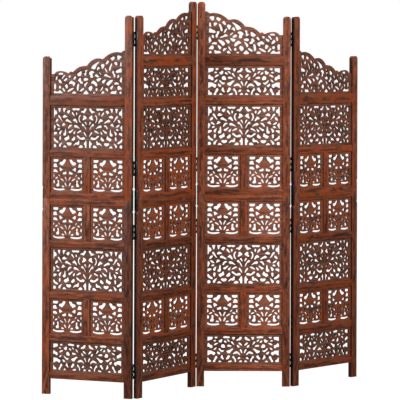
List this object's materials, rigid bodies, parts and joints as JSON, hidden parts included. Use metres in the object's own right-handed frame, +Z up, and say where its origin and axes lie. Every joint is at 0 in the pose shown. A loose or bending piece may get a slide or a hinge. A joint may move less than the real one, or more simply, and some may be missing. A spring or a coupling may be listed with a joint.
{
  "type": "folding screen",
  "caption": "Carved wooden folding screen: tall framed panels filled with pierced fretwork boards, with scalloped stepped crests, joined in a zigzag by butt hinges.",
  "frame": {"origin": "on the floor, in the middle of the rectangle that the screen covers as it stands", "axes": "+Z up; +X from the first panel to the last, along the third panel; +Y to the back, away from the viewer"},
  "size_m": [1.3588, 0.623, 1.65],
  "materials": {
    "frame_wood": "satin reddish-brown stain over streaky grain",
    "board_wood": "satin reddish-brown stain, darker in the carving",
    "black_steel": "black, slightly worn"
  },
  "bodies": {
    "panel_1": {"panel_1_upper_outer_stile": "frame_wood", "panel_1_upper_inner_stile": "frame_wood", "panel_1_lower_outer_stile": "frame_wood", "panel_1_lower_inner_stile": "frame_wood", "panel_1_upper_rails": "frame_wood", "panel_1_lower_rails": "frame_wood", "panel_1_muntins": "frame_wood", "panel_1_small_boards": "board_wood", "panel_1_big_boards": "board_wood", "panel_1_short_boards": "board_wood", "panel_1_crest_board": "board_wood", "panel_1_joining_plates": "black_steel", "hinges_1_2_left_leaves": "black_steel"},
    "panel_2": {"panel_2_upper_outer_stile": "frame_wood", "panel_2_upper_inner_stile": "frame_wood", "panel_2_lower_outer_stile": "frame_wood", "panel_2_lower_inner_stile": "frame_wood", "panel_2_upper_rails": "frame_wood", "panel_2_lower_rails": "frame_wood", "panel_2_muntins": "frame_wood", "panel_2_small_boards": "board_wood", "panel_2_big_boards": "board_wood", "panel_2_short_boards": "board_wood", "panel_2_crest_board": "board_wood", "panel_2_joining_plates": "black_steel", "hinges_1_2_right_leaves": "black_steel", "hinges_1_2_pins": "black_steel", "hinges_2_3_left_leaves": "black_steel", "hinges_2_3_pins": "black_steel"},
    "panel_3": {"panel_3_upper_outer_stile": "frame_wood", "panel_3_upper_inner_stile": "frame_wood", "panel_3_lower_outer_stile": "frame_wood", "panel_3_lower_inner_stile": "frame_wood", "panel_3_upper_rails": "frame_wood", "panel_3_lower_rails": "frame_wood", "panel_3_muntins": "frame_wood", "panel_3_small_boards": "board_wood", "panel_3_big_boards": "board_wood", "panel_3_short_boards": "board_wood", "panel_3_crest_board": "board_wood", "panel_3_joining_plates": "black_steel", "hinges_2_3_right_leaves": "black_steel", "hinges_3_4_left_leaves": "black_steel"},
    "panel_4": {"panel_4_upper_outer_stile": "frame_wood", "panel_4_upper_inner_stile": "frame_wood", "panel_4_lower_outer_stile": "frame_wood", "panel_4_lower_inner_stile": "frame_wood", "panel_4_upper_rails": "frame_wood", "panel_4_lower_rails": "frame_wood", "panel_4_muntins": "frame_wood", "panel_4_small_boards": "board_wood", "panel_4_big_boards": "board_wood", "panel_4_short_boards": "board_wood", "panel_4_crest_board": "board_wood", "panel_4_joining_plates": "black_steel", "hinges_3_4_right_leaves": "black_steel", "hinges_3_4_pins": "black_steel"}
  },
  "joints": [
    {"name": "fold_1_2", "type": "hinge", "parent": "panel_2", "child": "panel_1", "pos_m": [-0.29317, -0.29082, 0], "axis": [0, 0, 1], "range_deg": [-108.2, 71.8]},
    {"name": "fold_2_3", "type": "hinge", "parent": "panel_2", "child": "panel_3", "pos_m": [-0.03015, 0.01417, 0], "axis": [0, 0, 1], "range_deg": [-127.3, 52.7]},
    {"name": "fold_3_4", "type": "hinge", "parent": "panel_3", "child": "panel_4", "pos_m": [0.37185, 0.03857, 0], "axis": [0, 0, 1], "range_deg": [-43.2, 136.8]}
  ]
}
